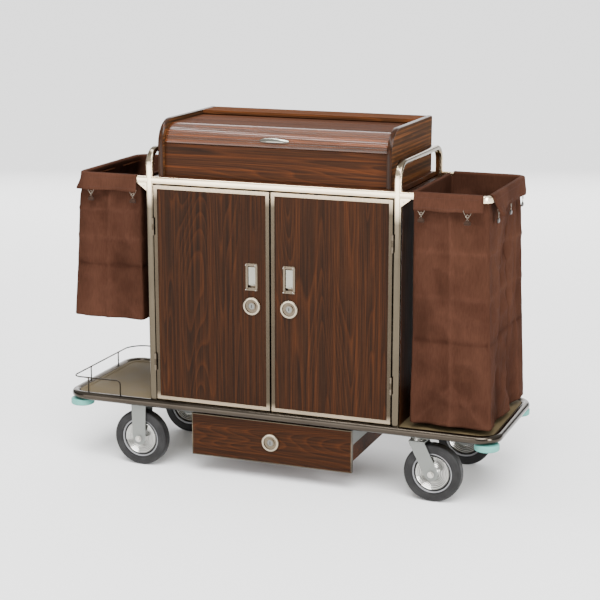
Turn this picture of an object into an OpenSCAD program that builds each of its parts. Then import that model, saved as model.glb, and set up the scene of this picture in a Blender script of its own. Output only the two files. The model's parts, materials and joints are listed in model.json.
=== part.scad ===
// Housekeeping cart: tube chassis on casters, two-door cabinet with a
// roll-top box, a drawer under the chassis and a cloth bag at each end.
// Millimetres, +Z up, front towards -Y. Origin: middle of the footprint, on the floor.

/* [Chassis] */
// Overall length of the chassis tube loop
chassis_l = 1592; // [1560:1:1700]
// Overall depth of the chassis tube loop
chassis_d = 522; // [515:1:560]
// Diameter of the chassis tube
chassis_tube = 29; // [25:1:32]
// Bend radius of the chassis corners, on the tube's centre line
chassis_bend = 60; // [50:1:90]
// Height of the chassis tube's centre line over the floor
chassis_z = 242; // [240:1:246]

/* [Cabinet] */
// Sideways offset of the cabinet from the middle of the chassis
cab_x = -7; // [-20:1:20]
// Half the distance between the inner faces of the posts
open_w = 433; // [420:1:440]
// Depth over the front and rear posts
frame_d = 486; // [480:1:500]
// Width of a post, across the cart
post_w = 25; // [22:1:30]
// Depth of a post, front to back
post_t = 18; // [16:1:22]
// Top of the front and rear top rails
rail_z = 1048; // [1030:1:1060]
// Top of the hoops that rise beside the top box
hoop_z = 1146; // [1130:1:1160]

/* [Doors] */
// Thickness of the door frame, front to back
door_t = 20; // [18:1:24]
// Visible width of the door's metal edge
door_edge = 13; // [10:1:18]
// Distance of the locks and latches from the middle gap
fitting_x = 68; // [55:1:90]
// Height of the lock centres
lock_z = 624; // [600:1:650]
// Height of the middle of the latch plates
latch_z = 725; // [700:1:760]

/* [Top box] */
// Half the outer width of the top box
box_w = 417; // [405:1:425]
// Top of the box's side panels
box_top = 1240; // [1220:1:1260]
// Radius of the side panels' front corner
nose_r = 85; // [75:1:90]
// Distance of the curtain's outer face inside the side panels' outline
curtain_inset = 16; // [14:1:20]
// Thickness of the curtain's slats
slat_t = 7; // [6:1:8]

/* [Drawer] */
// Sideways offset of the drawer from the middle of the chassis
drawer_x = -13; // [-20:1:0]
// Width of the drawer front
drawer_w = 593; // [560:1:620]
// Height of the drawer front
drawer_h = 150; // [130:1:150]
// Underside of the drawer front, over the floor
drawer_z = 67; // [67:1:75]

/* [Wheels] */
// Outer diameter of the tyres
wheel_d = 200; // [190:1:202]
// Width of the tyres
tyre_w = 44; // [40:1:46]
// Place of the fixed wheels along the cart, from its middle
fixed_x = -517; // [-560:1:-480]
// Distance of the swivel axes from the middle of the cart
swivel_x = 513; // [480:1:540]
// Trail of the swivel casters
trail = 53; // [45:1:58]
// Distance of the wheels from the cart's centre line
wheel_y = 205; // [200:1:208]

/* [Bags] */
// Outer end of the left bag rail
left_end = -729; // [-740:1:-700]
// Outer end of the right bag rail
right_end = 750; // [720:1:760]
// Underside of the left bag
left_bag_z = 533; // [500:1:600]
// Underside of the right bag
right_bag_z = 268; // [265:1:400]
// Drop of the folded cuff below the rail's top
cuff_h = 56; // [45:1:60]

/* [Hidden] */
$fn = 64;

// Chassis
tube_r = chassis_tube / 2;
tube_wall = 1.5;
loop_x = chassis_l / 2 - tube_r;
loop_y = chassis_d / 2 - tube_r;
deck_top = 251;
deck_t = 11;
deck_play = 0.2;
tray_depth = 1.5;
tray_x0 = -752;
tray_x1 = -482;
tray_half = 212;
member_t = 14;
deck_under = deck_top - deck_t;
plate_top = deck_under - member_t;
member_w = 40;
member_wall = 2;
far = 2000;

// Cabinet frame
yf = -frame_d / 2;
yb = frame_d / 2;
rail_h = 25;
rail_under = rail_z - rail_h;
hoop_bend = 62;
section_wall = 1.5;
panel_t = 18;
back_t = 12;
post_out = open_w + post_w;

// Doors
door_gap = 3;
centre_gap = 6.4;
door_bottom = 259.5;
door_top = rail_under - 3.5;
door_front = yf + 1;
pin_x = open_w - 1.5;
pin_y = yf - 4.5;
knuckle_r = 4;
pin_r = 2;
hinge_h = 60;
hinge_zs = [395, 876];
run_gap = 0.05;
leaf_t = 1.2;

// Door fittings
plate_w = 43;
plate_h = 94;
plate_t = 2;
pocket_w = 27;
pocket_h = 74;
pocket_d = 13;
paddle_t = 3;
paddle_drop = 60;
paddle_w = pocket_w - 2.6;
paddle_pin_r = 1.6;
ring_r = 32;
ring_t = 5;
plug_r = 11;
plug_len = 26;
cam_len = 28;
// Turning axis of a paddle: near the top of its pocket
paddle_y = door_front + 5;
paddle_z = latch_z + pocket_h / 2 - 5;

// Top box
box_t = 16;
nose_y = yf + 105;
nose_z = box_top - nose_r;
box_rear = yf + 475;
curtain_r = nose_r - curtain_inset;
curtain_z = nose_z + curtain_r;
slat_half = box_w - box_t - 1;
nose_start = 6;
slat_angles = [27, 19, 19, 19];
rib_counts = [4, 3, 3, 3];
rib_groove = 0.7;
nose_groove = 2.0;
flat_len = 150;
apron_len = 120;
rib_pitch = 7.5;
board_front = yf + 356;
board_t = 13;
slat_gap = 0.3;

// Drawer
drawer_front_y = yf + 12;
drawer_front_t = 16;
drawer_box_half = drawer_w / 2 - 14;
drawer_wall = 10;
drawer_floor_z = 91;
drawer_rim_z = 205;
drawer_depth = 430;
runner_z = 175;
trim_t = 2.5;
drawer_mid_z = drawer_z + drawer_h / 2;
drawer_back_y = drawer_front_y + drawer_front_t;

// Wheels
rim_r = 70;
axle_r = 6;
fork_in = 26;
fork_t = 4;
fork_w = 48;
hub_half = 25.5;
king_r = 8;
crown_z = 204;
crown_t = 5;

// Bumpers
bumper_r = 42;
bumper_h = 22;
bumper_z = 202;
stem_r = 5;
bumper_x = loop_x - chassis_bend + 28;
bumper_y = loop_y - chassis_bend + 28;

// Bags
bag_rail_t = 16;
cloth = 3;
bag_corner = 29;
bag_inner = 481;
rod_r = 4;

// ---------- shared shapes ----------

// Rounded rectangle about the origin
module round_rect(w, h, r) {
    square([w - 2 * r, h], center = true);
    square([w, h - 2 * r], center = true);
    for (sx = [-1, 1], sy = [-1, 1])
        translate([sx * (w / 2 - r), sy * (h / 2 - r)]) circle(r = r);
}

// Puts a (Y, Z) outline at x, with its thickness along X
module side_plate(x, t) {
    translate([x, 0, 0]) rotate([90, 0, 90]) linear_extrude(t, center = true) children();
}

// Puts an (X, Z) outline at y, with its thickness along Y
module front_plate(y, t) {
    translate([0, y, 0]) rotate([90, 0, 0]) linear_extrude(t, center = true) children();
}

module block(lo, hi) {
    translate(lo) cube(hi - lo);
}

module bar_x(y, z, r, x0, x1) {
    translate([x0, y, z]) rotate([90, 0, 90]) cylinder(r = r, h = x1 - x0);
}

module bar_y(x, z, r, y0, y1) {
    translate([x, y0, z]) rotate([-90, 0, 0]) cylinder(r = r, h = y1 - y0);
}

module bar_z(x, y, r, z0, z1) {
    translate([x, y, z0]) cylinder(r = r, h = z1 - z0);
}

// Closed loop of round tube in a level plane
module tube_loop(r) {
    run_x = loop_x - chassis_bend;
    run_y = loop_y - chassis_bend;
    for (s = [-1, 1]) {
        bar_x(s * loop_y, chassis_z, r, -run_x, run_x);
        bar_y(s * loop_x, chassis_z, r, -run_y, run_y);
    }
    for (c = [[1, 1, 0], [-1, 1, 90], [-1, -1, 180], [1, -1, 270]])
        translate([c[0] * run_x, c[1] * run_y, chassis_z]) rotate([0, 0, c[2]])
            rotate_extrude(angle = 90) translate([chassis_bend, 0]) circle(r = r);
}

// ---------- chassis ----------

module chassis_rail() {
    color([0.55, 0.51, 0.45]) difference() {
        tube_loop(tube_r);
        tube_loop(tube_r - tube_wall);
        // drain hole under each long run
        for (s = [-1, 1]) bar_z(0, s * loop_y, 3, chassis_z - tube_r - 1, chassis_z);
    }
}

// Board inside the tube loop, with a shallow tray in its open left end
module deck() {
    color([0.49, 0.44, 0.37]) difference() {
        translate([0, 0, deck_under]) linear_extrude(deck_t)
            round_rect(2 * (loop_x - tube_r - deck_play), 2 * (loop_y - tube_r - deck_play),
                chassis_bend - tube_r - deck_play);
        translate([(tray_x0 + tray_x1) / 2, 0, deck_top - tray_depth]) linear_extrude(deck_t)
            round_rect(tray_x1 - tray_x0, 2 * tray_half, 30);
    }
}

module bumper_stem(x, y) {
    bar_z(x, y, stem_r, bumper_z - 2.5, deck_under);
    bar_z(x, y, 9, bumper_z - 5, bumper_z - 0.5);
}

module cross_members() {
    reach = loop_y - tube_r + 1;
    half = member_w / 2;
    color([0.35, 0.34, 0.32]) {
        for (x = [fixed_x - 30, fixed_x + 30, -160, 160, swivel_x - 30, swivel_x + 30])
            difference() {
                block([x - half, -reach, plate_top], [x + half, reach, deck_under]);
                block([x - half + member_wall, -far, plate_top + member_wall],
                    [x + half - member_wall, far, deck_under - member_wall]);
            }
        for (sx = [-1, 1], sy = [-1, 1]) bumper_stem(sx * bumper_x, sy * bumper_y);
    }
}

module corner_bumper(x, y) {
    color([0.25, 0.55, 0.50]) translate([x, y, bumper_z]) rotate_extrude() {
        r = 5;
        translate([stem_r + run_gap, 0]) square([bumper_r - r - stem_r - run_gap, bumper_h]);
        translate([bumper_r - r - 1, r]) square([r + 1, bumper_h - 2 * r]);
        for (z = [r, bumper_h - r]) translate([bumper_r - r, z]) circle(r = r);
    }
}

module front_left_bumper() { corner_bumper(-bumper_x, -bumper_y); }
module front_right_bumper() { corner_bumper(bumper_x, -bumper_y); }
module rear_left_bumper() { corner_bumper(-bumper_x, bumper_y); }
module rear_right_bumper() { corner_bumper(bumper_x, bumper_y); }

// Thin rod round the open end of the left deck
module guard_rail() {
    r = 2.5;
    inset = 8;
    top = 307;
    x0 = -(loop_x - inset);
    y1 = loop_y - inset;
    front_end = -585;
    small = 28;
    big = 70;
    drop = 14;
    foot = chassis_z + 10;
    color([0.72, 0.68, 0.62]) {
        bar_x(-y1, top, r, x0 + small, front_end - drop);
        bar_y(x0, top, r, -y1 + small, y1 - big);
        bar_x(y1, top, r, x0 + big, cab_x - post_out);
        translate([x0 + small, -y1 + small, top]) rotate([0, 0, 180])
            rotate_extrude(angle = 90) translate([small, 0]) circle(r = r);
        translate([x0 + big, y1 - big, top]) rotate([0, 0, 90])
            rotate_extrude(angle = 90) translate([big, 0]) circle(r = r);
        translate([front_end - drop, -y1, top - drop]) rotate([90, 0, 0])
            rotate_extrude(angle = 90) translate([drop, 0]) circle(r = r);
        bar_z(front_end, -y1, r, foot, top - drop);
        bar_z(-712, -y1, r, foot, top);
        for (y = [-102, 114]) bar_z(x0, y, r, foot, top);
    }
}

// ---------- cabinet frame ----------

// Side view of a hoop's outside, shrunk by d all round
module arch(d, bottom) {
    r = hoop_bend - d;
    h = hoop_z - d;
    translate([yf + d, bottom]) square([frame_d - 2 * d, h - r - bottom]);
    translate([yf + hoop_bend, h - r - 1]) square([frame_d - 2 * hoop_bend, r + 1]);
    for (s = [-1, 1]) translate([s * (yb - hoop_bend), hoop_z - hoop_bend]) circle(r = r);
}

module hoop(x) {
    color([0.62, 0.58, 0.52]) difference() {
        side_plate(x, post_w) difference() {
            arch(0, deck_top);
            arch(post_t, 0);
        }
        side_plate(x, post_w - 2 * section_wall) difference() {
            arch(section_wall, 0);
            arch(post_t - section_wall, 0);
        }
        for (s = [-1, 1]) bar_x(s * loop_y, chassis_z, tube_r + 0.1, x - post_w, x + post_w);
    }
}

module left_hoop() { hoop(cab_x - open_w - post_w / 2); }
module right_hoop() { hoop(cab_x + open_w + post_w / 2); }

module top_rails() {
    color([0.68, 0.65, 0.60]) for (y = [yf, yb - post_t]) difference() {
        block([cab_x - open_w, y, rail_under], [cab_x + open_w, y + post_t, rail_z]);
        block([-far, y + section_wall, rail_under + section_wall],
            [far, y + post_t - section_wall, rail_z - section_wall]);
    }
}

// Level outline of a bag rail's outside, from the post to its rounded end
module rail_outline(x_end, d) {
    s = sign(x_end);
    r = 45 - d;
    x0 = cab_x + s * post_out;
    x1 = x_end - s * d;
    w = abs(x1 - x0) - r;
    translate([x0, 0]) mirror([s < 0 ? 1 : 0, 0]) {
        translate([0, yf + d]) square([w, frame_d - 2 * d]);
        translate([w - 1, yf + 45]) square([r + 1, frame_d - 90]);
        for (k = [-1, 1]) translate([w, k * (yb - 45)]) circle(r = r);
    }
}

// Corner plate under the rail where it meets the post
module gusset(s, y) {
    x = cab_x + s * post_out;
    front_plate(y, 12)
        polygon([[x, rail_under], [x + s * 30, rail_under], [x, rail_under - 24]]);
}

module bag_rail(x_end) {
    s = sign(x_end);
    rod_x = s * bag_inner - (s < 0 ? 6 : 0);
    color([0.62, 0.58, 0.52]) {
        difference() {
            translate([0, 0, rail_under]) linear_extrude(rail_h) difference() {
                rail_outline(x_end, 0);
                rail_outline(x_end, bag_rail_t);
                translate([cab_x + s * post_out - 1, yf + bag_rail_t])
                    square([2, frame_d - 2 * bag_rail_t]);
            }
            translate([0, 0, rail_under + section_wall])
                linear_extrude(rail_h - 2 * section_wall) difference() {
                    rail_outline(x_end, section_wall);
                    rail_outline(x_end, bag_rail_t - section_wall);
                }
        }
        for (k = [-1, 1]) gusset(s, k * (yb - bag_rail_t / 2));
        bar_y(rod_x, rail_z - 10, rod_r, yf + bag_rail_t - 0.5, yb - bag_rail_t + 0.5);
    }
}

module left_bag_rail() { bag_rail(left_end); }
module right_bag_rail() { bag_rail(right_end); }

// ---------- cabinet boards ----------

module side_panel(s) {
    mid = cab_x + s * (open_w + post_w / 2);
    color([0.30, 0.17, 0.11])
        block([mid - panel_t / 2, yf + post_t, deck_top],
            [mid + panel_t / 2, yb - post_t, rail_under + 7]);
}

module left_side_panel() { side_panel(-1); }
module right_side_panel() { side_panel(1); }

module back_panel() {
    color([0.30, 0.17, 0.11])
        block([cab_x - open_w, yb - back_t - 3, chassis_z + tube_r + 0.3],
            [cab_x + open_w, yb - 3, rail_under]);
}

module top_panel() {
    color([0.30, 0.17, 0.11])
        block([cab_x - open_w, yf + post_t, rail_z - 18],
            [cab_x + open_w, yb - post_t, rail_z]);
}

module shelf() {
    color([0.45, 0.28, 0.18])
        block([cab_x - open_w - 3.5, yf + 43, 640],
            [cab_x + open_w + 3.5, yb - post_t - 0.5, 656]);
}

// ---------- doors ----------

// A hinge's fixed half: two outer knuckles with the pin through them, and a leaf on the post
module fixed_hinge(s, z) {
    x = cab_x + s * pin_x;
    third = hinge_h / 3;
    post_x = cab_x + s * open_w;
    for (k = [-1, 1]) {
        z0 = z + k * third - third / 2 + 0.2;
        bar_z(x, pin_y, knuckle_r, z0, z0 + third - 0.4);
        block([min(post_x, post_x - s * leaf_t), pin_y, z0],
            [max(post_x, post_x - s * leaf_t), yf + 13, z0 + third - 0.4]);
    }
    bar_z(x, pin_y, pin_r, z - hinge_h / 2 - 1, z + hinge_h / 2 + 1);
    block([min(post_x, post_x - s * leaf_t), yf + 1.5, z - hinge_h / 2 + 0.2],
        [max(post_x, post_x - s * leaf_t), yf + 13, z + hinge_h / 2 - 0.2]);
}

module door_hinges() {
    color([0.70, 0.66, 0.60]) for (s = [-1, 1], z = hinge_zs) fixed_hinge(s, z);
}

// A hinge's moving half, on the door's edge
module moving_hinge(s, z) {
    x = cab_x + s * pin_x;
    edge_x = cab_x + s * (open_w - door_gap);
    h = hinge_h / 3 - 0.4;
    difference() {
        union() {
            bar_z(x, pin_y, knuckle_r, z - h / 2, z + h / 2);
            block([min(edge_x, edge_x + s * leaf_t), pin_y, z - h / 2],
                [max(edge_x, edge_x + s * leaf_t), door_front + 12, z + h / 2]);
        }
        bar_z(x, pin_y, pin_r + run_gap, z - h, z + h);
    }
}

// Door outline seen from the front, shrunk by d
module door_face(s, d) {
    x0 = cab_x + s * centre_gap / 2;
    x1 = cab_x + s * (open_w - door_gap);
    translate([min(x0, x1) + d, door_bottom + d])
        square([abs(x1 - x0) - 2 * d, door_top - door_bottom - 2 * d]);
}

module door_frame(s) {
    groove = 4;
    panel_y = door_front + 2;
    color([0.66, 0.58, 0.51]) {
        difference() {
            front_plate(door_front + door_t / 2, door_t) difference() {
                door_face(s, 0);
                door_face(s, door_edge);
            }
            front_plate(panel_y + door_t / 2 - 2, door_t - 4) door_face(s, door_edge - groove);
        }
        for (z = hinge_zs) moving_hinge(s, z);
    }
}

module left_door_frame() { door_frame(-1); }
module right_door_frame() { door_frame(1); }

module door_panel(s) {
    t = door_t - 4;
    x = cab_x + s * fitting_x;
    color([0.33, 0.19, 0.12]) difference() {
        front_plate(door_front + 2 + t / 2, t) door_face(s, door_edge - 4);
        front_plate(door_front + door_t / 2, 2 * door_t) translate([x, latch_z])
            square([pocket_w + 4, pocket_h + 4], center = true);
        bar_y(x, lock_z, plug_r + 3, door_front - door_t, door_front + 2 * door_t);
    }
}

module left_door_panel() { door_panel(-1); }
module right_door_panel() { door_panel(1); }

// Round lock plate with a dished face; the plug turns in its bore. Faces -Y, back on y
module lock_ring(x, y, z) {
    translate([x, y, z]) rotate([90, 0, 0]) rotate_extrude() difference() {
        union() {
            translate([plug_r + run_gap, 0]) square([ring_r - plug_r - run_gap - 2, ring_t]);
            translate([ring_r - 3, 0]) square([3, ring_t - 2]);
            translate([ring_r - 2, ring_t - 2]) circle(r = 2);
        }
        translate([plug_r + 4, 2]) square([ring_r - plug_r - 13, ring_t]);
    }
}

// Flush pull: a flat plate with a pocket behind it, and a bar across the pocket for the paddle
module latch_plate(x) {
    y = door_front + 2;
    translate([x, 0, latch_z]) difference() {
        union() {
            front_plate(y - plate_t / 2, plate_t) round_rect(plate_w, plate_h, 3);
            front_plate(y + pocket_d / 2, pocket_d)
                square([pocket_w + 3, pocket_h + 3], center = true);
        }
        front_plate(y + pocket_d / 2 - 3, pocket_d + 3)
            square([pocket_w, pocket_h], center = true);
    }
}

module door_plates(s) {
    x = cab_x + s * fitting_x;
    color([0.75, 0.72, 0.67]) {
        difference() {
            latch_plate(x);
            bar_x(paddle_y, paddle_z, paddle_pin_r + run_gap, x - plate_w / 2 + 5,
                x + plate_w / 2 - 5);
        }
        lock_ring(x, door_front + 2, lock_z);
    }
}

module left_door_plates() { door_plates(-1); }
module right_door_plates() { door_plates(1); }

// Sprung flap in the pocket, with a lip at its lower end for a fingertip
module latch_paddle(s) {
    x = cab_x + s * fitting_x;
    half = paddle_w / 2;
    low = paddle_z - paddle_drop;
    color([0.80, 0.79, 0.75]) {
        bar_x(paddle_y, paddle_z, paddle_pin_r, x - pocket_w / 2 - 1, x + pocket_w / 2 + 1);
        block([x - half, paddle_y - paddle_t / 2, low],
            [x + half, paddle_y + paddle_t / 2, paddle_z + 2]);
        block([x - half + 4, paddle_y - 5, low], [x + half - 4, paddle_y, low + 3]);
    }
}

module left_latch_paddle() { latch_paddle(-1); }
module right_latch_paddle() { latch_paddle(1); }

// Key plug with a slot in its face and a cam on its inner end
module lock_plug(x, y, z) {
    front = y - ring_t + 1;
    color([0.78, 0.77, 0.72]) difference() {
        union() {
            bar_y(x, z, plug_r, front, y);
            bar_y(x, z, plug_r - 1, y - 0.5, y + plug_len);
            block([x - 7, y + plug_len - 3, z - cam_len], [x + 7, y + plug_len, z]);
        }
        block([x - 1.2, front - 1, z - 6], [x + 1.2, front + 4, z + 6]);
    }
}

module left_lock_plug() { lock_plug(cab_x - fitting_x, door_front + 2, lock_z); }
module right_lock_plug() { lock_plug(cab_x + fitting_x, door_front + 2, lock_z); }

// ---------- drawer ----------

module drawer_front() {
    color([0.33, 0.19, 0.12]) difference() {
        block([drawer_x - drawer_w / 2 + trim_t, drawer_front_y, drawer_z + trim_t],
            [drawer_x + drawer_w / 2 - trim_t, drawer_back_y, drawer_z + drawer_h - trim_t]);
        bar_y(drawer_x, drawer_mid_z, plug_r + 1, drawer_front_y - 1, drawer_back_y + 1);
    }
}

module drawer_trim() {
    color([0.66, 0.58, 0.51]) {
        front_plate(drawer_front_y + drawer_front_t / 2, drawer_front_t)
            translate([drawer_x, drawer_mid_z]) difference() {
                square([drawer_w, drawer_h], center = true);
                square([drawer_w - 2 * trim_t, drawer_h - 2 * trim_t], center = true);
            }
        lock_ring(drawer_x, drawer_front_y, drawer_mid_z);
    }
}

module drawer_lock_plug() { lock_plug(drawer_x, drawer_front_y, drawer_mid_z); }

module drawer_box() {
    h = drawer_box_half;
    back = drawer_back_y + drawer_depth;
    color([0.28, 0.19, 0.15]) difference() {
        union() {
            block([drawer_x - h, drawer_back_y, drawer_floor_z], [drawer_x + h, back, drawer_rim_z]);
            // slide rails on the box's sides
            for (s = [-1, 1]) translate([drawer_x + s * (h + 3.5), 0, runner_z])
                block([-3.5, drawer_back_y, -11], [3.5, back, 11]);
        }
        block([drawer_x - h + drawer_wall, drawer_back_y + drawer_wall, drawer_floor_z + 8],
            [drawer_x + h - drawer_wall, back - drawer_wall, drawer_rim_z + 1]);
        // pocket that clears the lock's cam
        block([drawer_x - 32, drawer_back_y - 1, drawer_mid_z - 32],
            [drawer_x + 32, drawer_back_y + drawer_wall + 1, drawer_mid_z + 32]);
    }
}

// Channels that hang under the deck and hold the drawer's slide rails
module drawer_runners() {
    x_in = drawer_box_half + 1;
    x_out = drawer_box_half + 8;
    color([0.55, 0.55, 0.54]) for (s = [-1, 1]) translate([drawer_x, 0, 0])
        mirror([s < 0 ? 1 : 0, 0, 0]) {
            block([x_out, drawer_back_y + 3, runner_z - 14], [x_out + 2.5, yb - 20, deck_under]);
            for (z = [runner_z - 14, runner_z + 12])
                block([x_in, drawer_back_y + 3, z], [x_out + 1, yb - 20, z + 2]);
        }
}

// ---------- top box ----------

module box_side_outline() {
    translate([nose_y - nose_r, rail_z])
        square([box_rear - nose_y + nose_r, nose_z - rail_z]);
    translate([nose_y, nose_z - 1]) square([box_rear - nose_y, nose_r + 1]);
    translate([nose_y, nose_z]) circle(r = nose_r);
}

module box_side(s) {
    color([0.27, 0.16, 0.11])
        side_plate(cab_x + s * (box_w - box_t / 2), box_t) box_side_outline();
}

module box_left_side() { box_side(-1); }
module box_right_side() { box_side(1); }

module box_front() {
    y = nose_y - curtain_r;
    half = box_w - box_t;
    color([0.33, 0.19, 0.12])
        block([cab_x - half, y, rail_z], [cab_x + half, y + 14, nose_z + 5]);
}

// Back board, and the fixed board over the curtain's rear end
module box_back() {
    half = box_w - box_t;
    color([0.33, 0.19, 0.12]) {
        block([cab_x - half, box_rear - 15, rail_z],
            [cab_x + half, box_rear, box_top - board_t]);
        block([cab_x - half, board_front, box_top - board_t],
            [cab_x + half, box_rear, box_top]);
    }
}

// Running total of the slats' angles, from the curtain's lower edge
function slat_low(i) = i == 0 ? nose_start : slat_low(i - 1) + slat_angles[i - 1];

// (Y, Z) point on the curtain's arc: 0 degrees faces the front, 90 is on top
function arc_point(r, a) = [nose_y - r * cos(a), nose_z + r * sin(a)];

// One curved slat of the nose, seen from the side, with ribs on its outer face
module slat_outline(i) {
    gap_a = slat_gap / curtain_r * 90 / PI;
    a0 = slat_low(i) + gap_a;
    a1 = slat_low(i) + slat_angles[i] - gap_a;
    step = slat_angles[i] / rib_counts[i];
    intersection() {
        difference() {
            translate([nose_y, nose_z]) circle(r = curtain_r);
            translate([nose_y, nose_z]) circle(r = curtain_r - slat_t);
            for (k = [0 : rib_counts[i]])
                translate(arc_point(curtain_r, slat_low(i) + k * step)) circle(r = nose_groove);
        }
        polygon([[nose_y, nose_z], arc_point(2 * curtain_r, a0), arc_point(2 * curtain_r, a1)]);
    }
}

module slat(i) {
    color([0.42, 0.25, 0.16]) side_plate(cab_x, 2 * slat_half) slat_outline(i);
}

module slat_1() { slat(0); }
module slat_2() { slat(1); }
module slat_3() { slat(2); }
module slat_4() { slat(3); }

// Level stretch of the curtain between two distances behind the nose
module level_curtain(from, to) {
    color([0.42, 0.25, 0.16]) difference() {
        block([cab_x - slat_half, nose_y + from, curtain_z - slat_t],
            [cab_x + slat_half, nose_y + to, curtain_z]);
        for (d = [from + rib_pitch : rib_pitch : to - rib_pitch / 2])
            bar_x(nose_y + d, curtain_z, rib_groove, cab_x - box_w, cab_x + box_w);
    }
}

module curtain_flat() { level_curtain(slat_gap, flat_len); }
module curtain_apron() { level_curtain(flat_len + slat_gap, flat_len + apron_len); }

// Rounded grip on the lowest slat
module curtain_pull() {
    c = arc_point(curtain_r + 1, 26);
    half = 30;
    r = 8;
    color([0.85, 0.84, 0.81]) difference() {
        union() {
            bar_x(c[0], c[1], r, cab_x - half, cab_x + half);
            for (s = [-1, 1]) translate([cab_x + s * half, c[0], c[1]]) sphere(r = r);
        }
        bar_x(nose_y, nose_z, curtain_r, cab_x - box_w, cab_x + box_w);
    }
}

// ---------- casters ----------

// Outline of a fork's leg: straight sides from the top edge to a round end at the axle
module leg_outline(shift, top) {
    r = fork_w / 2;
    length = norm([shift, top - wheel_d / 2]);
    n = [(top - wheel_d / 2) / length, shift / length];
    end = [shift, wheel_d / 2];
    polygon([[-r - 4, top], [r + 4, top], end + r * n, end - r * n]);
    translate(end) circle(r = r);
}

// Bolt through both legs, with a round head and a nut
module axle(x, y) {
    reach = fork_in + fork_t;
    bar_y(x, wheel_d / 2, axle_r, y - reach - 2, y + reach + 2);
    for (s = [-1, 1]) translate([x, y + s * (reach + 2.6), wheel_d / 2]) rotate([90, 0, 0])
        cylinder(r = 10, h = 5, center = true);
}

module fork_legs(x, y, shift, top) {
    difference() {
        for (s = [-1, 1]) translate([x, 0, 0])
            front_plate(y + s * (fork_in + fork_t / 2), fork_t) leg_outline(shift, top);
        bar_y(x + shift, wheel_d / 2, axle_r + 0.1, y - 40, y + 40);
    }
}

module rigid_forks() {
    half = fork_in + fork_t;
    color([0.72, 0.72, 0.69]) for (s = [-1, 1]) translate([0, s * wheel_y, 0]) {
        fork_legs(fixed_x, 0, 0, plate_top - 3);
        block([fixed_x - 50, -half, plate_top - 4], [fixed_x + 50, half, plate_top]);
        axle(fixed_x, 0);
    }
}

module swivel_plates() {
    half = fork_in + fork_t;
    color([0.62, 0.62, 0.60]) for (s = [-1, 1]) translate([swivel_x, s * wheel_y, 0]) {
        block([-50, -half, plate_top - 4], [50, half, plate_top]);
        bar_z(0, 0, 24, crown_z + crown_t + 0.3, plate_top - 3);
        bar_z(0, 0, king_r, crown_z - 3, plate_top - 3);
        bar_z(0, 0, 12, crown_z - 5, crown_z - 0.4);
    }
}

module swivel_fork(y) {
    half = fork_in + fork_t;
    color([0.72, 0.72, 0.69]) {
        difference() {
            union() {
                fork_legs(swivel_x, y, trail, crown_z + 1);
                block([swivel_x - 28, y - half, crown_z], [swivel_x + 28, y + half,
                    crown_z + crown_t]);
            }
            bar_z(swivel_x, y, king_r + run_gap, 0, far);
        }
        axle(swivel_x + trail, y);
    }
}

module front_swivel_fork() { swivel_fork(-wheel_y); }
module rear_swivel_fork() { swivel_fork(wheel_y); }

// Pressed disc with rings in its face, a hub and a rolled edge under the tyre
module rim(x, y) {
    disc = 3;
    color([0.78, 0.77, 0.74]) translate([x, y, wheel_d / 2]) rotate([90, 0, 0])
        rotate_extrude() {
            bore = axle_r + run_gap;
            translate([bore, -hub_half]) square([14 - bore, 2 * hub_half]);
            translate([13, 7]) square([rim_r - 14, disc]);
            translate([13, -7 - disc]) square([rim_r - 14, disc]);
            translate([rim_r - 8, -tyre_w / 2 + 4]) square([8, tyre_w - 8]);
            for (r = [24, 33, 42, 51], s = [-1, 1]) translate([r, s * 9.5]) circle(r = 1.6);
            for (s = [-1, 1]) translate([rim_r - 6, s * (tyre_w / 2 - 4)]) circle(r = 2.5);
        }
}

module front_left_rim() { rim(fixed_x, -wheel_y); }
module front_right_rim() { rim(swivel_x + trail, -wheel_y); }
module rear_left_rim() { rim(fixed_x, wheel_y); }
module rear_right_rim() { rim(swivel_x + trail, wheel_y); }

// Solid rubber tyre: flat tread with rounded shoulders
module tyre(x, y) {
    r = 10;
    out = wheel_d / 2;
    color([0.08, 0.08, 0.08]) translate([x, y, out]) rotate([90, 0, 0]) rotate_extrude() {
        translate([rim_r, -tyre_w / 2]) square([out - rim_r - r, tyre_w]);
        translate([out - r - 1, -tyre_w / 2 + r]) square([r + 1, tyre_w - 2 * r]);
        for (s = [-1, 1]) translate([out - r, s * (tyre_w / 2 - r)]) circle(r = r);
    }
}

module front_left_tyre() { tyre(fixed_x, -wheel_y); }
module front_right_tyre() { tyre(swivel_x + trail, -wheel_y); }
module rear_left_tyre() { tyre(fixed_x, wheel_y); }
module rear_right_tyre() { tyre(swivel_x + trail, wheel_y); }

// ---------- bags ----------

// Level outline of a bag, shrunk by d all round: square by the cabinet, rounded at its outer end
module bag_outline(x_in, x_out, half, d) {
    w = x_out - x_in - bag_corner;
    translate([x_in + d, d - half]) square([w - d, 2 * (half - d)]);
    translate([x_in + w - 1, bag_corner - half])
        square([bag_corner + 1 - d, 2 * (half - bag_corner)]);
    for (k = [-1, 1]) translate([x_in + w, k * (half - bag_corner)]) circle(r = bag_corner - d);
}

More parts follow.
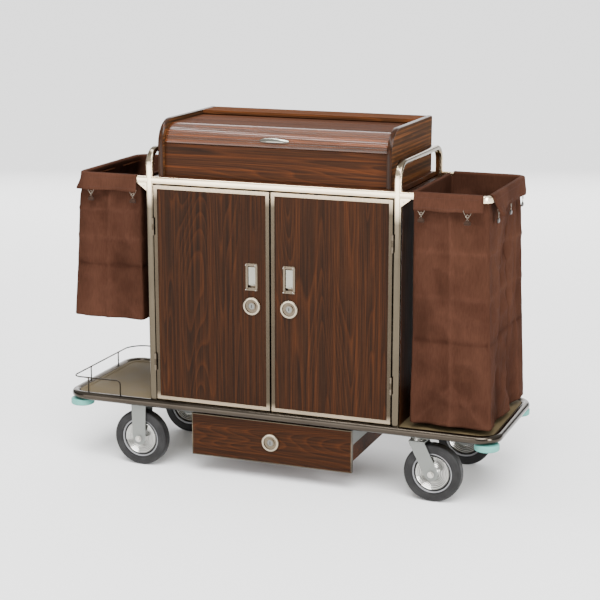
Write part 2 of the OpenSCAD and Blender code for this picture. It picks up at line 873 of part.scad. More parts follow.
// Open-topped cloth bag between the inner rod and the outer end of its rail, with a cuff
// folded out over the rail on its three outer sides
module bag(x_end, bottom) {
    s = sign(x_end);
    rod = abs(s * bag_inner - (s < 0 ? 6 : 0));
    x_in = rod + rod_r + 1;
    x_out = abs(x_end) - bag_rail_t - 1;
    half = yb - bag_rail_t - 1;
    over = rail_z + 0.5;
    cuff_low = rail_z - cuff_h;
    notch = 48;
    color([0.40, 0.25, 0.19]) mirror([s < 0 ? 1 : 0, 0, 0]) {
        translate([0, 0, bottom]) difference() {
            linear_extrude(over - bottom) bag_outline(x_in, x_out, half, 0);
            translate([0, 0, cloth]) linear_extrude(over - bottom)
                bag_outline(x_in, x_out, half, cloth);
        }
        // strips that pass over the rail, and the cuff that hangs outside it
        for (k = [-1, 1]) {
            block([x_in, min(k * (half - cloth), k * (yb + 4)), over],
                [x_out - notch + 16, max(k * (half - cloth), k * (yb + 4)), over + cloth]);
            block([x_in, min(k * (yb + 1), k * (yb + 4)), cuff_low],
                [x_out - notch + 16, max(k * (yb + 1), k * (yb + 4)), over + 1]);
        }
        block([x_out - cloth, -half + notch, over],
            [abs(x_end) + 4, half - notch, over + cloth]);
        block([abs(x_end) + 1, -half + notch, cuff_low],
            [abs(x_end) + 4, half - notch, over + 1]);
        // inner end turned over the rod
        block([rod - rod_r - 3, -half, over], [x_in + cloth, half, over + cloth]);
    }
}

module left_bag() { bag(left_end, left_bag_z); }
module right_bag() { bag(right_end, right_bag_z); }

// Wire clip that holds the cuff to the bag: a bent loop under the cuff and a jaw below it
module hook(x, y, turn) {
    wire = 1.6;
    low = 6;
    high = 14;
    translate([x, y, rail_z - cuff_h]) rotate([90, 0, turn]) {
        linear_extrude(2 * wire, center = true) difference() {
            polygon([[-high, 8], [high, 8], [low, -26], [-low, -26]]);
            polygon([[-high + 5, 8 - 2 * wire], [high - 5, 8 - 2 * wire], [low - 3, -24],
                [-low + 3, -24]]);
        }
        translate([0, -32, 0]) cube([22, 14, 4 * wire], center = true);
    }
}

module bag_hooks() {
    y = yb + 6;
    color([0.75, 0.74, 0.72]) {
        for (k = [-1, 1], x = [520, 674, -513, -674]) hook(x, k * y, 0);
        for (v = [-165, 0, 165]) {
            hook(right_end + 6, v, 90);
            hook(left_end - 6, v, 90);
        }
    }
}

chassis_rail();
deck();
cross_members();
guard_rail();
left_hoop();
right_hoop();
top_rails();
left_bag_rail();
right_bag_rail();
left_side_panel();
right_side_panel();
back_panel();
top_panel();
shelf();
door_hinges();
left_door_frame();
left_door_panel();
right_door_frame();
right_door_panel();
left_door_plates();
right_door_plates();
left_latch_paddle();
right_latch_paddle();
left_lock_plug();
right_lock_plug();
drawer_front();
drawer_trim();
drawer_box();
drawer_lock_plug();
drawer_runners();
box_left_side();
box_right_side();
box_front();
box_back();
slat_1();
slat_2();
slat_3();
slat_4();
curtain_flat();
curtain_apron();
curtain_pull();
front_left_bumper();
front_right_bumper();
rear_left_bumper();
rear_right_bumper();
rigid_forks();
swivel_plates();
front_swivel_fork();
rear_swivel_fork();
front_left_rim();
front_right_rim();
rear_left_rim();
rear_right_rim();
front_left_tyre();
front_right_tyre();
rear_left_tyre();
rear_right_tyre();
left_bag();
right_bag();
bag_hooks();
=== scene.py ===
"""Looks of a housekeeping cart: materials, cloth bags, small fittings, studio and camera.

Everything is in metres, in the cart's own frame: +X along the cart towards the large bag,
-Y towards the cabinet doors, +Z up, with the floor at 0.
"""

import json
import math

import bpy
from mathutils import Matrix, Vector, noise


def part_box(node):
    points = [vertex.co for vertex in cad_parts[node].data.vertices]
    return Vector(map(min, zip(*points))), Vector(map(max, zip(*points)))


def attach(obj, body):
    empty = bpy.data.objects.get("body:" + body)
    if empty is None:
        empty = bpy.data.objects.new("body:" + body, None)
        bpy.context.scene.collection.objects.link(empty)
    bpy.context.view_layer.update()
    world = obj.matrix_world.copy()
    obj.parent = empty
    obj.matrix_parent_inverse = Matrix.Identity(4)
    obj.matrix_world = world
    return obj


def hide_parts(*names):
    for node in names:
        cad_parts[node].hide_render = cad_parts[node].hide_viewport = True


MM = 0.001

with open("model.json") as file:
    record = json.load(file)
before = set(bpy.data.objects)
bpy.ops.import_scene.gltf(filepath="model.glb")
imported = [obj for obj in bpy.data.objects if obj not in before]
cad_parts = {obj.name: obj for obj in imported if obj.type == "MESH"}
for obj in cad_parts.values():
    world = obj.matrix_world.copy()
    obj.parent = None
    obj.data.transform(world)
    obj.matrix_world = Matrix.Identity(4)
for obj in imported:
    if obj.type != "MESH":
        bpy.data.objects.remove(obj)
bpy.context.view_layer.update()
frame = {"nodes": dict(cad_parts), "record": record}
NODES = frame["nodes"]
SLOT_OF = {row["node"]: row["material_slot"] for row in frame["record"]["subparts"]}


def srgb(red, green, blue):
    """Linear colour of an 8-bit one."""
    return tuple(((c / 255 + 0.055) / 1.055) ** 2.4 for c in (red, green, blue))


# ---------- materials ----------


class Look:
    """A material on one Principled shader, with short calls for the nodes that feed it."""

    def __init__(self, name, color, roughness, metallic=0.0, fixed=None):
        self.material = bpy.data.materials.new(name)
        self.material.use_nodes = True
        self.tree = self.material.node_tree
        self.shader = self.tree.nodes["Principled BSDF"]
        settings = {"Base Color": (*color, 1.0), "Roughness": roughness, "Metallic": metallic}
        for socket, value in {**settings, **(fixed or {})}.items():
            self.shader.inputs[socket].default_value = value
        self.place = self.add("ShaderNodeTexCoord").outputs["Object"]

    def add(self, kind, settings=None, inputs=None):
        node = self.tree.nodes.new(kind)
        for key, value in (settings or {}).items():
            setattr(node, key, value)
        for key, value in (inputs or {}).items():
            if isinstance(value, bpy.types.NodeSocket):
                self.tree.links.new(value, node.inputs[key])
            else:
                node.inputs[key].default_value = value
        return node

    def feed(self, socket, source):
        self.tree.links.new(source, self.shader.inputs[socket])

    def noise(self, scale, detail=3.0, distortion=0.0):
        """Noise with its own scale along X, Y and Z, from about 0.2 to 0.8."""
        place = self.add("ShaderNodeMapping", inputs={"Vector": self.place, "Scale": scale})
        inputs = {"Vector": place.outputs[0], "Scale": 1.0, "Detail": detail}
        inputs["Distortion"] = distortion
        return self.add("ShaderNodeTexNoise", inputs=inputs).outputs[0]

    def math(self, operation, first, second=0.0):
        inputs = {0: first, 1: second}
        return self.add("ShaderNodeMath", {"operation": operation}, inputs).outputs[0]

    def ramp(self, value, stops):
        """Colour that runs through the stops, a list of (position, colour)."""
        node = self.add("ShaderNodeValToRGB", inputs={"Fac": value})
        elements = node.color_ramp.elements
        elements[0].position, elements[-1].position = stops[0][0], stops[-1][0]
        elements[0].color, elements[-1].color = (*stops[0][1], 1), (*stops[-1][1], 1)
        for position, color in stops[1:-1]:
            elements.new(position).color = (*color, 1)
        return node.outputs[0]

    def range(self, value, low, high):
        """Maps a noise value to the range low to high."""
        inputs = {"Value": value, "From Min": 0.3, "From Max": 0.7, "To Min": low, "To Max": high}
        return self.add("ShaderNodeMapRange", inputs=inputs).outputs[0]

    def mix(self, factor, first, second, blend="MIX"):
        settings = {"data_type": "RGBA", "blend_type": blend}
        inputs = {0: factor, 6: first, 7: second}
        return self.add("ShaderNodeMix", settings, inputs).outputs[2]

    def bump(self, height, distance):
        inputs = {"Height": height, "Distance": distance, "Strength": 1.0}
        self.feed("Normal", self.add("ShaderNodeBump", inputs=inputs).outputs[0])


def wood(name, grain, light=1.0, roughness=0.42, coat=0.0, shine=0.06, tint=(0.43, 0.44, 0.41),
         plain=0.55):
    """Dark walnut laminate. grain is the axis, 0 to 2, along which its figure runs.

    plain runs from 0, arches only, to 1, straight streaks only. light scales the colour of this
    copy of the walnut: painted light and shade, lighter or darker as light falls on the boards that
    carry it.
    """
    gloss = {"Coat Weight": coat, "Coat Roughness": 0.18, "Specular IOR Level": shine}
    look = Look(name, srgb(75, 45, 33), roughness, fixed=gloss)

    def stretched(across, along):
        scale = [across] * 3
        scale[grain] = along
        return scale

    # light makes each copy lighter or darker: painted light and painted shade
    def shade(red, green, blue):
        return tuple(c * light * t for c, t in zip(srgb(red, green, blue), tint))

    # the contour lines of a slow field are the growth rings, with their long pointed arches
    ring_count = 58.0
    field = look.noise(stretched(5.0, 0.36), 2.0, 0.25)
    rings = look.math("FRACT", look.math("MULTIPLY", field, ring_count))
    stops = [(0.0, shade(64, 41, 28)), (0.25, shade(77, 48, 31)), (0.6, shade(87, 53, 33))]
    stops += [(0.88, shade(120, 68, 38)), (1.0, shade(65, 42, 28))]
    figure = look.ramp(rings, stops)
    streaks = look.noise(stretched(130.0, 1.2), 4.0)
    patch = look.ramp(streaks, [(0.36, shade(60, 40, 29)), (0.5, shade(82, 51, 33)),
                                (0.66, shade(124, 70, 39))])
    color = look.mix(plain, figure, patch)
    bands = look.noise(stretched(9.0, 0.5), 3.0)
    slow = look.ramp(bands, [(0.35, (0.8, 0.82, 0.85)), (0.65, (1.2, 1.16, 1.12))])
    color = look.mix(1.0, color, slow, "MULTIPLY")
    fibres = look.noise(stretched(420.0, 9.0), 2.0)
    fine = look.ramp(fibres, [(0.35, (0.62, 0.6, 0.6)), (0.6, (1.12, 1.1, 1.08))])
    look.feed("Base Color", look.mix(0.75, color, fine, "MULTIPLY"))
    look.feed("Roughness", look.range(fibres, roughness - 0.06, roughness + 0.1))
    look.bump(fibres, 0.06 * MM)
    return look.material


def metal(name, color, roughness, grain=(700, 700, 700), metallic=1.0, wear_and_fold_shade=0.12, painted_reflection=()):
    """Plated or brushed metal: slow stains, a fine brushed line and uneven gloss.

    The last argument is a list of (height, share): how many times lighter the metal is made at
    that height, a painted reflection in place of the bright things that it would reflect there.
    """
    look = Look(name, color, roughness, metallic)
    slow = look.noise((7, 7, 7), 4.0)
    dull = tuple(c * (1 - wear_and_fold_shade) for c in color)
    bright = tuple(min(1, c * (1 + wear_and_fold_shade)) for c in color)
    base = look.ramp(slow, [(0.3, dull), (0.7, bright)])
    # painted reflection: the metal is made lighter in bands by height
    if painted_reflection:
        span = 2.0
        height = look.add("ShaderNodeSeparateXYZ", inputs={"Vector": look.place}).outputs[2]
        stops = [(z / span, (share,) * 3) for z, share in painted_reflection]
        share = look.ramp(look.math("MULTIPLY", height, 1 / span), stops)
        base = look.mix(1.0, base, share, "MULTIPLY")
    look.feed("Base Color", base)
    fine = look.noise(grain, 2.0)
    both = look.math("ADD", look.math("MULTIPLY", slow, 0.5), look.math("MULTIPLY", fine, 0.5))
    look.feed("Roughness", look.range(both, roughness - 0.07, roughness + 0.09))
    look.bump(fine, 0.012 * MM)
    return look.material


def rubber(name, color, roughness):
    """Moulded rubber with dust in its pores and scuffed patches."""
    look = Look(name, color, roughness, fixed={"Specular IOR Level": 0.25})
    scuffs = look.noise((28, 28, 28), 5.0)
    dusty = tuple(0.9 * c + 0.012 for c in color)
    look.feed("Base Color", look.ramp(scuffs, [(0.42, color), (0.72, dusty)]))
    grains = look.noise((900, 900, 900), 2.0)
    look.feed("Roughness", look.range(scuffs, roughness - 0.08, roughness + 0.08))
    look.bump(grains, 0.03 * MM)
    return look.material


def board(name, color):
    """Matte moulded board with a fine pebble grain and worn spots."""
    look = Look(name, color, 0.6, fixed={"Specular IOR Level": 0.04})
    marks = look.noise((9, 9, 9), 6.0)
    worn = tuple(c * 1.25 for c in color)
    look.feed("Base Color", look.ramp(marks, [(0.4, color), (0.75, worn)]))
    pebbles = look.noise((600, 600, 600), 2.0)
    look.feed("Roughness", look.range(marks, 0.52, 0.7))
    look.bump(pebbles, 0.05 * MM)
    return look.material


def cloth(name):
    """Brown woven nylon: a plain weave, slubs, and painted light and shade on the sides of its
    folds.

    The mesh's fold shade attribute says how light to paint the cloth: 0 is darkest, 0.4 plain and 1
    lightest.
    """
    base = srgb(57, 35, 26)
    look = Look(name, base, 0.78, fixed={"Specular IOR Level": 0.01})
    parts = look.add("ShaderNodeSeparateXYZ", inputs={"Vector": look.place}).outputs
    weave_pitch = 1.1 * MM
    threads = 2 * math.pi / weave_pitch
    across = look.math("ADD", parts[0], parts[1])
    warp = look.math("SINE", look.math("MULTIPLY", across, threads))
    weft = look.math("SINE", look.math("MULTIPLY", parts[2], threads))
    weave = look.math("MULTIPLY", warp, weft)
    slubs = look.noise((260, 260, 40), 3.0)
    slow = look.noise((5, 5, 4), 4.0)
    faded = look.ramp(slow, [(0.3, srgb(48, 29, 21)), (0.5, base), (0.72, srgb(62, 39, 29))])
    thread_tone = look.ramp(slubs, [(0.35, (0.86, 0.86, 0.86)), (0.65, (1.1, 1.1, 1.1))])
    toned = look.mix(0.8, faded, thread_tone, "MULTIPLY")
    fold_shade = look.add("ShaderNodeAttribute", {"attribute_name": "fold_shade"}).outputs["Fac"]
    # painted light on folds that stand out, painted shade in folds pressed in, read from the mesh's
    # attribute
    wear_and_fold_shade = look.ramp(fold_shade, [(0.0, (0.7, 0.68, 0.68)), (0.4, (1, 1, 1)), (1.0, (1.26, 1.28, 1.3))])
    look.feed("Base Color", look.mix(1.0, toned, wear_and_fold_shade, "MULTIPLY"))
    height = look.math("ADD", look.math("MULTIPLY", weave, 0.35), slubs)
    look.bump(height, 0.18 * MM)
    return look.material


LOOKS = {
    # the walnut copies differ in their light factor: painted light and shade, lighter on the top
    # box's back, sides, curtain and ribs and on the inner boards, darker on the cabinet's panels,
    # doors, drawer and edge bands
    "walnut_z": wood("walnut_upright", 2, 0.6),
    "walnut_x": wood("walnut_level", 0, 0.92, tint=(0.44, 0.42, 0.36)),
    "walnut_drawer": wood("walnut_drawer", 0, 0.67, tint=(0.41, 0.4, 0.34)),
    "walnut_top": wood("walnut_top", 0, 1.7, 0.7, 0.0, 0.005),
    "walnut_y": wood("walnut_side", 1, 2.0, 0.5, 0.0, 0.005, (0.36, 0.44, 0.46), 0.85),
    "walnut_curtain": wood("walnut_curtain", 0, 1.5, 0.6, 0.0, 0.01, (0.41, 0.48, 0.64), 0.5),
    "walnut_ribs": wood("walnut_ribs", 0, 1.9, 0.12, 1.0, 0.04, (0.46, 0.41, 0.34), 0.8),
    "inner_board": wood("walnut_inner", 0, 1.25, 0.5),
    "walnut_edge": wood("walnut_edge", 2, 0.62, 0.3, 0.1),
    "chassis_metal": metal("chassis_plate", srgb(65, 59, 52), 0.2, (90, 900, 900)),
    # the height bands below are painted reflections: lighter tops on the rails and hoops, lighter
    # edges on the door trims and a lighter band on the drawer trim
    "frame_metal": metal("frame_plate", srgb(86, 78, 65), 0.17, (900, 900, 60),
                         painted_reflection=[(0.94, 1.0), (1.02, 8.6), (1.08, 8.6), (1.125, 1.7)]),
    "bright_wire": metal("wire_plate", srgb(46, 41, 34), 0.26),
    "door_trim": metal("trim_anodised", srgb(72, 64, 53), 0.26, (900, 900, 50),
                       painted_reflection=[(0.25, 4.6), (0.27, 4.6), (0.285, 1.0), (0.97, 1.0), (1.015, 6.0)]),
    "drawer_metal": metal("drawer_trim", srgb(80, 72, 60), 0.26, (900, 900, 50),
                          painted_reflection=[(0.1, 1.0), (0.112, 1.8), (0.172, 1.8), (0.18, 1.0)]),
    "bright_fitting": metal("fitting_nickel", srgb(190, 187, 180), 0.2, wear_and_fold_shade=0.06),
    "plate_finish": metal("plate_nickel", srgb(98, 88, 75), 0.2, (60, 900, 900)),
    "lock_ring": metal("ring_plate", srgb(163, 152, 133), 0.22, wear_and_fold_shade=0.06),
    "plug_finish": metal("plug_nickel", srgb(112, 112, 108), 0.08, wear_and_fold_shade=0.2),
    "paddle_finish": metal("paddle_chrome", srgb(140, 138, 128), 0.1, wear_and_fold_shade=0.05),
    "dark_fitting": metal("fitting_bronze", srgb(50, 38, 32), 0.35),
    "clip_wire": metal("clip_nickel", srgb(128, 120, 108), 0.25),
    "zinc_steel": metal("zinc", srgb(116, 118, 114), 0.46, metallic=0.55, wear_and_fold_shade=0.08),
    "wheel_disc": metal("disc_steel", srgb(176, 175, 170), 0.2, wear_and_fold_shade=0.08),
    "wheel_ring": metal("ring_steel", srgb(140, 140, 142), 0.42, metallic=0.7),
    "deck_board": board("deck_matte", srgb(82, 71, 51)),
    "bumper_rubber": rubber("bumper_green", srgb(88, 152, 142), 0.5),
    "tyre_rubber": rubber("tyre_black", srgb(24, 23, 23), 0.55),
    # black for gaps and cuts: painted shade
    "shadow_gap": rubber("gap_black", srgb(14, 13, 13), 0.7),
    "bag_cloth": cloth("bag_weave"),
    "thread": rubber("sewing_thread", srgb(58, 34, 25), 0.85),
}
GRAIN = {node: "walnut_z" for node in ("left_side_panel", "right_side_panel", "back_panel",
                                       "left_door_panel", "right_door_panel")}
GRAIN.update({node: "walnut_y" for node in ("box_left_side", "box_right_side")})
GRAIN.update({node: "walnut_ribs" for node in ("slat_1", "slat_2", "slat_3", "slat_4")})
GRAIN.update({node: "walnut_curtain" for node in ("curtain_flat", "curtain_apron")})
GRAIN.update(box_back="walnut_top", drawer_front="walnut_drawer")
OWN_FINISH = {"left_door_plates": "plate_finish", "right_door_plates": "plate_finish",
              "left_latch_paddle": "paddle_finish", "right_latch_paddle": "paddle_finish",
              "left_lock_plug": "plug_finish", "right_lock_plug": "plug_finish",
              "drawer_lock_plug": "plug_finish", "curtain_pull": "paddle_finish",
              "door_hinges": "plate_finish", "drawer_trim": "drawer_metal"}


def dress_frame():
    """Gives every CAD node its finish."""
    for name, piece in NODES.items():
        slot = SLOT_OF[name]
        slot_look = GRAIN.get(name, "walnut_x") if slot == "walnut_board" else slot
        look = LOOKS[OWN_FINISH.get(name, slot_look)]
        piece.data.materials.clear()
        piece.data.materials.append(look)


def round_edges(name, width, segments=2):
    """Rounds a CAD piece's sharp edges, as folding, sanding or trimming leaves them."""
    piece = NODES[name]
    piece.data.polygons.foreach_set("use_smooth", [True] * len(piece.data.polygons))
    weld = piece.modifiers.new("weld", "WELD")
    weld.merge_threshold = 0.01 * MM
    flat = piece.modifiers.new("flat", "DECIMATE")
    flat.decimate_type = "DISSOLVE"
    flat.angle_limit = math.radians(0.5)
    bevel = piece.modifiers.new("bevel", "BEVEL")
    bevel.width = width
    bevel.segments = segments
    bevel.limit_method = "ANGLE"
    bevel.angle_limit = math.radians(38)
    normals = piece.modifiers.new("normals", "WEIGHTED_NORMAL")
    normals.keep_sharp = True


def round_all_edges():
    boards = ["left_side_panel", "right_side_panel", "back_panel", "top_panel", "shelf",
              "left_door_panel", "right_door_panel", "drawer_front", "drawer_box", "box_front",
              "box_back", "box_left_side", "box_right_side"]
    for name in boards:
        round_edges(name, 0.8 * MM)
    for name in ("slat_1", "slat_2", "slat_3", "slat_4"):
        round_edges(name, 1.1 * MM)
    for name in ("curtain_flat", "curtain_apron"):
        round_edges(name, 0.3 * MM)
    for name in ("left_door_frame", "right_door_frame"):
        round_edges(name, 1.6 * MM, 3)
    for name in ("drawer_trim", "left_door_plates", "right_door_plates", "left_latch_paddle",
                 "right_latch_paddle", "rigid_forks", "front_swivel_fork", "rear_swivel_fork",
                 "swivel_plates", "deck", "cross_members"):
        round_edges(name, 0.7 * MM)


# ---------- mesh building ----------


def place_object(name, data):
    thing = bpy.data.objects.new(name, data)
    bpy.context.scene.collection.objects.link(thing)
    return thing


class Shape:
    """Points and faces of one piece that is put together from simple closed forms."""

    def __init__(self):
        self.points = []
        self.faces = []

    def add(self, points, faces):
        first = len(self.points)
        self.points += [tuple(p) for p in points]
        self.faces += [tuple(first + i for i in face) for face in faces]

    def revolve(self, profile, centre, axis, steps=48, closed=False):
        """Turns (radius, height) points about an axis through centre; open ends get caps."""
        axis = Vector(axis).normalized()
        side = axis.orthogonal().normalized()
        other = axis.cross(side)
        points = []
        for radius, height in profile:
            for k in range(steps):
                a = 2 * math.pi * k / steps
                out = side * math.cos(a) + other * math.sin(a)
                points.append(Vector(centre) + axis * height + out * radius)
        rows = len(profile)
        faces = []
        for i in range(rows if closed else rows - 1):
            j = (i + 1) % rows
            for k in range(steps):
                m = (k + 1) % steps
                faces.append((i * steps + k, i * steps + m, j * steps + m, j * steps + k))
        if not closed:
            faces.append(tuple(reversed(range(steps))))
            faces.append(tuple((rows - 1) * steps + k for k in range(steps)))
        self.add(points, faces)

    def ring(self, centre, axis, radius, thick, steps=48, sides=10):
        """A round ring of round section."""
        profile = []
        for k in range(sides):
            a = 2 * math.pi * k / sides
            profile.append((radius + thick * math.cos(a), thick * math.sin(a)))
        self.revolve(profile, centre, axis, steps, closed=True)

    def strip(self, rows):
        """Joins equal rows of points into a skin, closed round each row and capped at its ends."""
        count = len(rows[0])
        faces = []
        for i in range(len(rows) - 1):
            for k in range(count):
                m = (k + 1) % count
                faces.append((i * count + k, i * count + m, (i + 1) * count + m,
                              (i + 1) * count + k))
        faces.append(tuple(reversed(range(count))))
        faces.append(tuple((len(rows) - 1) * count + k for k in range(count)))
        self.add([p for row in rows for p in row], faces)

    def piece(self, name, look, body, slot, bevel=0.0, smooth=True, sharp=40):
        mesh = bpy.data.meshes.new(name)
        mesh.from_pydata(self.points, [], self.faces)
        mesh.polygons.foreach_set("use_smooth", [smooth] * len(mesh.polygons))
        if smooth:
            mesh.set_sharp_from_angle(angle=math.radians(sharp))
        mesh.materials.append(LOOKS[look])
        piece = place_object(name, mesh)
        if bevel:
            rounding = piece.modifiers.new("bevel", "BEVEL")
            rounding.width = bevel
            rounding.segments = 2
            rounding.limit_method = "ANGLE"
            rounding.angle_limit = math.radians(35)
            piece.modifiers.new("normals", "WEIGHTED_NORMAL")
        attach(piece, body)
        return piece


def rounded_section(wide, deep, radius, steps=5):
    """Points (a, b) round a rectangle with rounded corners."""
    points = []
    for sa, sb, start in ((1, 1, 0), (-1, 1, 90), (-1, -1, 180), (1, -1, 270)):
        for k in range(steps + 1):
            t = math.radians(start + 90 * k / steps)
            points.append((sa * (wide / 2 - radius) + radius * math.cos(t),
                           sb * (deep / 2 - radius) + radius * math.sin(t)))
    return points


def middle(node):
    low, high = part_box(node)
    return (low + high) / 2


# ---------- frame tubes ----------

FRAME_CORNER = 6.5 * MM
HOOP_DEPTH = 18 * MM
HOOP_BEND = 53 * MM
MID_POST = 0.7
BAG_RAIL = (16 * MM, 25 * MM)  # deep and tall
BAG_RAIL_BEND = 37 * MM


def arc_path(centre, radius, start, stop, steps=16):
    """(point, outward) pairs along an arc in a plane, angles in degrees."""
    pairs = []
    for k in range(steps + 1):
        t = math.radians(start + (stop - start) * k / steps)
        out = (math.cos(t), math.sin(t))
        pairs.append(((centre[0] + radius * out[0], centre[1] + radius * out[1]), out))
    return pairs


def hoop(side):
    """Oval-cornered tube that rises as a post, arches over and comes down again."""
    low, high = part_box(f"{side}_hoop")
    x = (low.x + high.x) / 2
    edge = high.y - HOOP_DEPTH / 2
    y, z = edge - HOOP_BEND, high.z - HOOP_DEPTH / 2 - HOOP_BEND
    path = [((edge, low.z + MM), (1, 0)), ((edge, MID_POST), (1, 0))]
    path += arc_path((y, z), HOOP_BEND, 0, 90)
    path += arc_path((-y, z), HOOP_BEND, 90, 180)
    path += [((-edge, MID_POST), (-1, 0)), ((-edge, low.z + MM), (-1, 0))]
    section = rounded_section(high.x - low.x, HOOP_DEPTH, FRAME_CORNER)
    tube = Shape()
    tube.strip([[(x + a, p[0] + out[0] * b, p[1] + out[1] * b) for a, b in section]
                for p, out in path])
    piece = tube.piece(f"{side}_hoop_tube", "frame_metal", "frame", "frame_metal")
    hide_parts(f"{side}_hoop")


def top_rails():
    low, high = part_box("top_rails")
    deep, reach = HOOP_DEPTH, 7 * MM
    z = (low.z + high.z) / 2
    section = rounded_section(deep - 0.4 * MM, high.z - low.z, FRAME_CORNER)
    tubes = Shape()
    for y in (low.y + deep / 2, high.y - deep / 2):
        tubes.strip([[(x, y + a, z + b) for a, b in section]
                     for x in (low.x - reach, (low.x + high.x) / 2, high.x + reach)])
    piece = tubes.piece("top_rail_tubes", "frame_metal", "frame", "frame_metal")
    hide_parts("top_rails")


def bag_rail(side):
    """Level tube round a bag, with its corner plates and the rod by the cabinet."""
    sign = -1 if side == "left" else 1
    low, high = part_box(f"{side}_bag_rail")
    hoop_low, hoop_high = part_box(f"{side}_hoop")
    post = abs(hoop_low.x) if sign < 0 else abs(hoop_high.x)
    end = abs(low.x) if sign < 0 else abs(high.x)
    deep, tall = BAG_RAIL
    rail_low = high.z - tall
    edge = high.y - deep / 2
    inset = BAG_RAIL_BEND + deep / 2
    u, y, z = end - inset, high.y - inset, high.z - tall / 2
    path = [((post - 7 * MM, -edge), (0, -1))] + arc_path((u, -y), BAG_RAIL_BEND, -90, 0)
    path += arc_path((u, y), BAG_RAIL_BEND, 0, 90) + [((post - 7 * MM, edge), (0, 1))]
    section = rounded_section(deep - 0.4 * MM, tall, FRAME_CORNER)
    tube = Shape()
    tube.strip([[(sign * (p[0] + out[0] * a), p[1] + out[1] * a, z + b) for a, b in section]
                for p, out in path])
    for k in (-1, 1):
        corners = [(post - 4 * MM, rail_low + 3 * MM), (post + 30 * MM, rail_low + 3 * MM),
                   (post + 30 * MM, rail_low - MM), (post, rail_low - 24 * MM),
                   (post - 4 * MM, rail_low - 24 * MM)]
        tube.strip([[(sign * a, k * edge + b, c) for a, c in corners]
                    for b in (-6 * MM, 6 * MM)])
    bag_low, bag_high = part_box(f"{side}_bag")
    rod_u = min(abs(bag_low.x), abs(bag_high.x)) + 7 * MM
    bar = [(4 * MM, -high.y + 12 * MM), (4 * MM, high.y - 12 * MM)]
    tube.revolve(bar, (sign * rod_u, 0, high.z - 10 * MM), (0, 1, 0), 24)
    piece = tube.piece(f"{side}_rail_tube", "frame_metal", "frame", "frame_metal")
    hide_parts(f"{side}_bag_rail")


# ---------- wheels and casters ----------

# each wheel and the body that holds its axle bolt
WHEELS = {"front_left": "frame", "rear_left": "frame", "front_right": "front_caster",
          "rear_right": "rear_caster"}


def disc_side():
    """(radius, height) of a wheel's face from the bore out: hub, ringed dish, rolled edge."""
    side = [(6.05, 25.5), (9.5, 25.5), (11.5, 24.5), (12.5, 21.0), (14.5, 17.0), (18.0, 14.8)]
    start, stop, waves, samples = 19.0, 58.0, 7, 6
    for k in range(waves * samples + 1):
        share = k / (waves * samples)
        radius = start + (stop - start) * share
        dish = 14.2 - 3.6 * math.sin(math.pi * share) + 1.5 * share
        side.append((radius, dish + 0.75 * math.cos(2 * math.pi * waves * share)))
    return side + [(59.5, 15.0), (60.5, 13.0)]


def wheel(corner):
    centre = middle(f"{corner}_tyre")
    side = disc_side()
    profile = [(r * MM, h * MM) for r, h in side]
    profile += [(r * MM, -h * MM) for r, h in reversed(side)]
    disc = Shape()
    disc.revolve(profile, centre, (0, 1, 0), 72, closed=True)
    dressed = disc.piece(f"{corner}_disc", "wheel_disc", f"{corner}_wheel", "wheel_disc")
    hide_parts(f"{corner}_rim")
    # black ring painted in as the shade between the disc and the rim ring
    gap = Shape()
    gap.revolve([(r * MM, h * MM) for r, h in ((60.3, 12.8), (64.2, 12.8), (64.2, -12.8),
                                               (60.3, -12.8))],
                centre, (0, 1, 0), 72, closed=True)
    gap.piece(f"{corner}_disc_gap", "shadow_gap", f"{corner}_wheel", "tyre_rubber")
    ring = Shape()
    edge = [(64.0, 16.5), (65.0, 18.2), (67.0, 18.9), (69.0, 18.4), (69.9, 17.0)]
    loop = edge + [(r, -h) for r, h in reversed(edge)]
    ring.revolve([(r * MM, h * MM) for r, h in loop], centre, (0, 1, 0), 72, closed=True)
    ring.piece(f"{corner}_rim_ring", "wheel_ring", f"{corner}_wheel", "wheel_disc")
    beads = Shape()
    for side_sign in (-1, 1):
        for radius in (74.0, 86.0):
            place = centre + Vector((0, side_sign * 21.9 * MM, 0))
            beads.ring(place, (0, 1, 0), radius * MM, 0.55 * MM, 72, 6)
    beads.piece(f"{corner}_tyre_beads", "tyre_rubber", f"{corner}_wheel", "tyre_rubber")


def axle_nuts(corner):
    """Hexagon nut and washer on both ends of a caster's bolt."""
    centre = middle(f"{corner}_tyre")
    nuts = Shape()
    for sign in (-1, 1):
        out = (0, sign, 0)
        nuts.revolve([(11.5 * MM, 0), (11.5 * MM, 1.4 * MM), (7 * MM, 1.4 * MM), (7 * MM, 0)],
                     centre + Vector(out) * 35.2 * MM, out, 36, closed=True)
        nuts.revolve([(8.6 * MM, 0), (8.6 * MM, 4.4 * MM), (6.4 * MM, 5.2 * MM)],
                     centre + Vector(out) * 36.4 * MM, out, 6)
        nuts.revolve([(3.2 * MM, 0), (3.2 * MM, 2.0 * MM), (2.2 * MM, 2.8 * MM)],
                     centre + Vector(out) * 41.2 * MM, out, 24)
    nuts.piece(f"{corner}_axle_nuts", "bright_fitting", WHEELS[corner], "bright_fitting",
               0.35 * MM)


def swivel_races():
    """Pressed bearing cups between each swivel fork and its plate."""
    races = Shape()
    x = middle("swivel_plates").x
    for end in ("front", "rear"):
        y = middle(f"{end}_swivel_fork").y
        for z, radius in ((211.2, 25.6), (215.0, 26.4), (219.4, 25.6)):
            races.ring(Vector((x, y, z * MM)), (0, 0, 1), radius * MM, 1.5 * MM, 40, 8)
    races.piece("swivel_races", "bright_fitting", "frame", "bright_fitting")


# ---------- small fittings ----------


